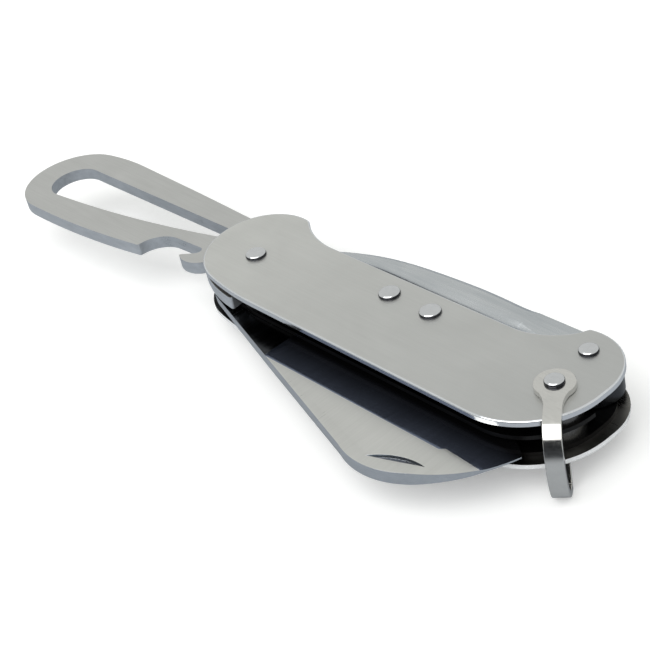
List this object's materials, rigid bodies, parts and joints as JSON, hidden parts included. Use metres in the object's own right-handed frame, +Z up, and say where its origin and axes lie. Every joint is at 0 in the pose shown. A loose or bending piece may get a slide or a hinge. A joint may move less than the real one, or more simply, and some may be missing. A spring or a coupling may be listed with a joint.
{
  "type": "folding rigging multi tool",
  "caption": "All-steel folding rigging knife with a slotted shackle key, a wide sheepsfoot blade, a round marlin spike and a swinging strap bail.",
  "frame": {"origin": "middle of the handle's straight width and of its length, on the outer face of the lower scale", "axes": "+X along the handle towards the bail, -Y towards the side that the blade folds into, +Z up through the layers towards the upper scale"},
  "size_m": [0.1826, 0.0511, 0.0196],
  "materials": {
    "scale_steel": "satin",
    "liner_steel": "satin",
    "spring_steel": "ground",
    "rivet_steel": "polished",
    "bush_steel": "turned",
    "key_steel": "satin with polished edges",
    "blade_steel": "satin flats, polished hollow grind",
    "spike_steel": "polished",
    "bail_steel": "polished"
  },
  "bodies": {
    "handle": {"upper_scale": "scale_steel", "lower_scale": "scale_steel", "upper_liner": "liner_steel", "centre_liner": "liner_steel", "lower_liner": "liner_steel", "key_spring": "spring_steel", "blade_spring": "spring_steel", "tool_pivot_rivet": "rivet_steel", "spring_rivets": "rivet_steel", "spike_pivot_rivet": "rivet_steel", "bail_rivet": "rivet_steel", "upper_bail_bush": "bush_steel", "lower_bail_bush": "bush_steel"},
    "shackle_key": {"shackle_key": "key_steel"},
    "blade": {"blade": "blade_steel"},
    "marlin_spike": {"marlin_spike": "spike_steel"},
    "bail": {"bail": "bail_steel"}
  },
  "joints": [
    {"name": "key_pivot", "type": "hinge", "parent": "handle", "child": "shackle_key", "pos_m": [-0.0412, 0.00075, 0], "axis": [0, 0, 1], "range_deg": [0, 165]},
    {"name": "blade_pivot", "type": "hinge", "parent": "handle", "child": "blade", "pos_m": [-0.0412, 0.00075, 0], "axis": [0, 0, 1], "range_deg": [-180, 0]},
    {"name": "spike_pivot", "type": "hinge", "parent": "handle", "child": "marlin_spike", "pos_m": [0.0426, 0.0141, 0], "axis": [0, 0, 1], "range_deg": [-180, 0]},
    {"name": "bail_swing", "type": "hinge", "parent": "handle", "child": "bail", "pos_m": [0.0447, 0.0024, 0], "axis": [0, 0, 1], "range_deg": [-5, 54]}
  ]
}
